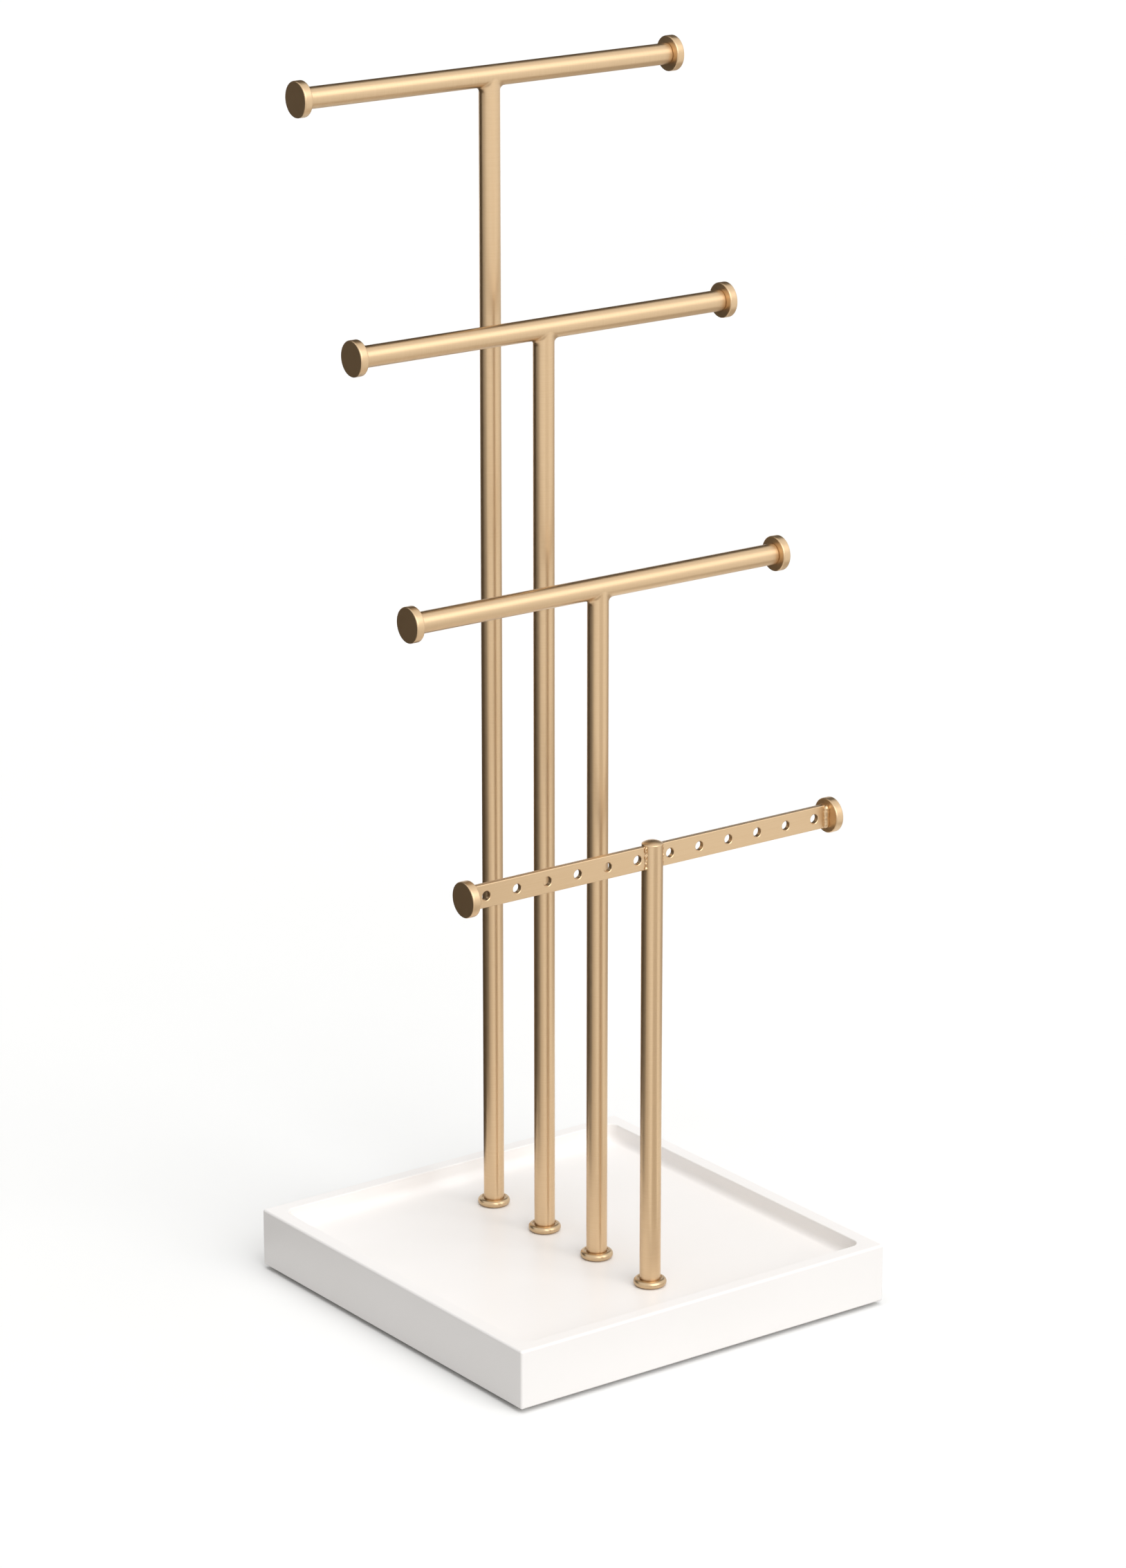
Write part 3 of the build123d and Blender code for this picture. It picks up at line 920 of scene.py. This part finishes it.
class TREE_OT_earring_bar(bpy.types.Operator):
    """Model the flat bar: rounded edges, countersunk earring holes and a weld bead at each end"""
    bl_idname = "tree.earring_bar"
    bl_label = "Earring Bar"

    def hole_cutters(self, sizes):
        """Spin one cutter that flares at both faces, and copy it to each hole of the record."""
        radius = HOLES[0]["dims"]["r_mm"] * MM
        half = STRIP_THICKNESS / 2
        wide = radius + sizes.hole_lip
        over = half + MM
        waist = half - sizes.hole_lip
        profile = [(0, -over), (wide, -over), (wide, -half), (radius, -waist)]
        profile += [(reach, -height) for reach, height in reversed(profile)]
        master = spin_profile("hole_cutter", Vector(), profile, HOLE_STEPS)
        cutters = []
        for hole in HOLES:
            place = Matrix.Translation(hole["pos_m"]) @ Matrix.Rotation(QUARTER_TURN, 4, "X")
            cutters.append(copy_piece(master, "hole_cutter", place))
        bpy.data.objects.remove(master)
        for cutter in cutters:
            cutter.select_set(True)
        bpy.context.view_layer.objects.active = cutters[0]
        bpy.ops.object.join()
        return cutters[0]

    def execute(self, context):
        sizes = context.scene.tree_sizes
        # The strip is brushed lengthwise before it is cut and plated
        finish = brushed_gold(context.scene.tree_colours, "brushed_strip", (STRIP_RUN, LINE_GAP, LINE_GAP))
        low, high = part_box("earring_bar")
        centre = middle_of("earring_bar")
        length = high.x - low.x
        height = high.z - low.z
        spare = 0.5 * MM
        strip = begin_piece(
            "earring_pierced_bar", bpy.ops.mesh.primitive_cube_add, size=1, location=centre,
            scale=(length + 2 * spare, STRIP_THICKNESS, height))
        pick("EDGE", lambda edge: abs(edge.verts[0].co.x - edge.verts[1].co.x) > length / 2)
        round_edges(sizes.strip_round)
        combine(strip, self.hole_cutters(sizes), "DIFFERENCE")
        # The beads at the discs are smoother than those at the post
        end_lump = 0.3 * sizes.bead_lump
        across = (length - sizes.end_bead) / 2
        weld_corners(strip, centre, across, STRIP_THICKNESS / 2, sizes.end_bead, height, end_lump)
        bpy.ops.object.mode_set(mode="EDIT")
        for side in SIDES.values():
            bpy.ops.mesh.select_all(action="SELECT")
            bpy.ops.mesh.bisect(
                plane_co=centre + Vector((side * length / 2, 0, 0)), plane_no=(side, 0, 0), use_fill=True,
                clear_outer=True, threshold=CUT_GAP)
        seat_piece(close_piece(strip), "earring_bar", finish)
        return {"FINISHED"}


class TREE_OT_earring_post(bpy.types.Operator):
    """Model the slotted earring post with its lumpy weld beads, and the domed plug that closes it"""
    bl_idname = "tree.earring_post"
    bl_label = "Earring Post and Plug"

    def slot_tool(self, centre, width, half_slot, low, high):
        """A block as wide as the slot for the flat bar."""
        return begin_piece(
            "slot", bpy.ops.mesh.primitive_cube_add, size=1, location=(centre.x, centre.y, (low + high) / 2),
            scale=(width, 2 * half_slot, high - low))

    def execute(self, context):
        sizes = context.scene.tree_sizes
        finish = bpy.data.materials["gold_plated_steel_brushed_round_posts"]
        low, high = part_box("earring_post")
        strip_low, strip_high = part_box("earring_bar")
        radius = size_of("earring_post_plug").x / 2
        bore = radius - sizes.tube_wall
        length = high.z - low.z
        half_slot = STRIP_THICKNESS / 2 + sizes.seat_gap
        centre = middle_of("earring_post")
        axis = Vector((centre.x, centre.y, 0))
        post = begin_tube("earring_slotted_post", centre, length, radius, sizes.tube_wall)
        round_rings(centre, 2, radius, (-length / 2,), sizes.foot_chamfer, 1)
        bead_height = strip_high.z - strip_low.z
        corner = math.sqrt(radius**2 - half_slot**2)
        joint = axis + Vector((0, 0, (strip_low.z + strip_high.z) / 2))
        weld_corners(post, joint, corner, half_slot, sizes.post_bead, bead_height, sizes.bead_lump)
        over = 2 * MM
        slot_span = 4 * radius
        combine(post, self.slot_tool(
            axis, slot_span, half_slot, strip_low.z - sizes.seat_gap, strip_high.z + over), "DIFFERENCE")
        seat_piece(close_piece(post), "earring_post", finish)

        plug_low, plug_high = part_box("earring_post_plug")
        rim = strip_high.z + sizes.plug_rim
        rise = plug_high.z - rim
        dome = (radius**2 + rise**2) / (2 * rise)
        spread = math.asin((radius - sizes.plug_round) / dome)
        profile = [(0, plug_low.z), (bore - sizes.seat_gap, plug_low.z), (bore - sizes.seat_gap, strip_high.z)]
        profile += [(radius, strip_high.z)]
        # The rim turns in until it meets the dome
        turn_in = 1.4
        rim_centre = (radius - sizes.plug_round, rim - sizes.plug_round / 2)
        profile += arc(rim_centre, sizes.plug_round, 0, turn_in, EDGE_STEPS)
        profile += arc((0, plug_high.z - dome), dome, QUARTER_TURN - spread, QUARTER_TURN, DOME_STEPS)
        plug = spin_profile("earring_dome_plug", axis, profile)
        combine(plug, self.slot_tool(axis, slot_span, half_slot, plug_low.z - over, strip_high.z), "DIFFERENCE")
        satin = brushed_gold(context.scene.tree_colours, "satin_plug", SATIN_GRAIN)
        seat_piece(close_piece(plug), "earring_post_plug", satin)
        return {"FINISHED"}


class TREE_OT_stage(bpy.types.Operator):
    """Set the paper floor, the soft lights, the cards that the metal mirrors, and the camera"""
    bl_idname = "tree.stage"
    bl_label = "Studio"

    def lamp(self, scene, name, comes_from, mirrored):
        """A wide lamp far away that shines from a direction, and that the metal mirrors or not."""
        light = bpy.data.lights.new(f"{name}_light", "SUN")
        light.energy = getattr(scene.tree_studio, f"{name}_strength")
        light.angle = getattr(scene.tree_studio, f"{name}_spread")
        lamp = bpy.data.objects.new(f"{name}_light", light)
        lamp.rotation_euler = Vector(comes_from).to_track_quat("Z", "Y").to_euler()
        lamp.visible_glossy = mirrored
        scene.collection.objects.link(lamp)

    def white_studio(self, studio):
        """A world that looks white in the picture and in reflections, and lights the tree more softly."""
        world = bpy.data.worlds.new("white_studio")
        world.use_nodes = True
        tree = world.node_tree
        background = tree.nodes["Background"]
        background.inputs["Color"].default_value = linear("FFFFFF")
        add_node(
            tree, "ShaderNodeMapRange",
            {"Value": seen_rays(tree), "To Min": studio.sky_strength, "To Max": studio.backdrop_strength},
            {"Result": background.inputs["Strength"]})
        return world

    def mirror_card(self, scene, name, corners, finish):
        """A card that shows only in reflections, as a studio flag just out of the picture does."""
        mesh = bpy.data.meshes.new(name)
        mesh.from_pydata(corners, [], [(0, 1, 2, 3)])
        mesh.materials.append(finish)
        card = bpy.data.objects.new(name, mesh)
        scene.collection.objects.link(card)
        for ray in ("camera", "diffuse", "shadow", "transmission", "volume_scatter"):
            setattr(card, f"visible_{ray}", False)

    def execute(self, context):
        scene = context.scene
        studio = scene.tree_studio
        colours = scene.tree_colours
        scene.view_settings.view_transform = "Standard"

        bpy.ops.object.select_all(action="DESELECT")
        bpy.ops.mesh.primitive_plane_add(size=studio.floor_side)
        floor = context.object
        floor.name = "paper_floor"
        floor.data.materials.append(background_paper(colours))

        scene.world = self.white_studio(studio)
        self.lamp(scene, "key", studio.key_from, mirrored=True)
        self.lamp(scene, "fill", studio.key_from, mirrored=False)
        self.lamp(scene, "top", (0, 0, 1), mirrored=False)

        cards = {}
        for tone in ("dark", "brown", "grey"):
            tones = [getattr(colours, f"{tone}_card{shade}") for shade in ("", "_shade")]
            cards[tone] = matt_card(f"{tone}_studio_card", tones)
        for name, (tone, corners) in FLOOR_CARDS.items():
            self.mirror_card(scene, name, [(x, y, CARD_LIFT) for x, y in corners], cards[tone])
        for name, (tone, y, (left, right), (low, high)) in UPRIGHT_CARDS.items():
            corners = [(left, y, low), (right, y, low), (right, y, high), (left, y, high)]
            self.mirror_card(scene, name, corners, cards[tone])

        lens = bpy.data.cameras.new("photo_camera")
        lens.lens = studio.lens
        camera = bpy.data.objects.new("photo_camera", lens)
        camera.location = studio.camera_place
        camera.rotation_euler = (QUARTER_TURN - studio.camera_tilt, 0, -studio.camera_heading)
        scene.collection.objects.link(camera)
        scene.camera = camera
        return {"FINISHED"}


# Steps in the order that they run
STEPS = (
    TREE_OT_tray, TREE_OT_foot_pads, TREE_OT_foot_rings, TREE_OT_fixings, TREE_OT_round_posts,
    TREE_OT_round_bars, TREE_OT_end_discs, TREE_OT_earring_bar, TREE_OT_earring_post, TREE_OT_stage)
GROUPS = {"tree_sizes": TreeSizes, "tree_colours": TreeColours, "tree_studio": TreeStudio}


class VIEW3D_PT_jewellery_tree(bpy.types.Panel):
    """Lists the steps that build the jewellery tree, and the values that they use"""
    bl_idname = "VIEW3D_PT_jewellery_tree"
    bl_label = "Jewellery Tree"
    bl_space_type = "VIEW_3D"
    bl_region_type = "UI"
    bl_category = "Jewellery Tree"

    def draw(self, context):
        for step in STEPS:
            self.layout.operator(step.bl_idname)
        for name, group in GROUPS.items():
            column = self.layout.column(heading=group.__name__)
            for setting in group.__annotations__:
                column.prop(getattr(context.scene, name), setting)


CLASSES = (*GROUPS.values(), *STEPS, VIEW3D_PT_jewellery_tree)


def register():
    """Register the classes, and give each scene its settings."""
    for kind in CLASSES:
        bpy.utils.register_class(kind)
    for name, group in GROUPS.items():
        setattr(bpy.types.Scene, name, PointerProperty(type=group))


def unregister():
    """Take the settings and the classes away again."""
    for name in GROUPS:
        delattr(bpy.types.Scene, name)
    for kind in reversed(CLASSES):
        bpy.utils.unregister_class(kind)


def main():
    """Build the tree step by step."""
    register()
    for step in STEPS:
        group, name = step.bl_idname.split(".")
        getattr(getattr(bpy.ops, group), name)()


if __name__ == "__main__":
    main()
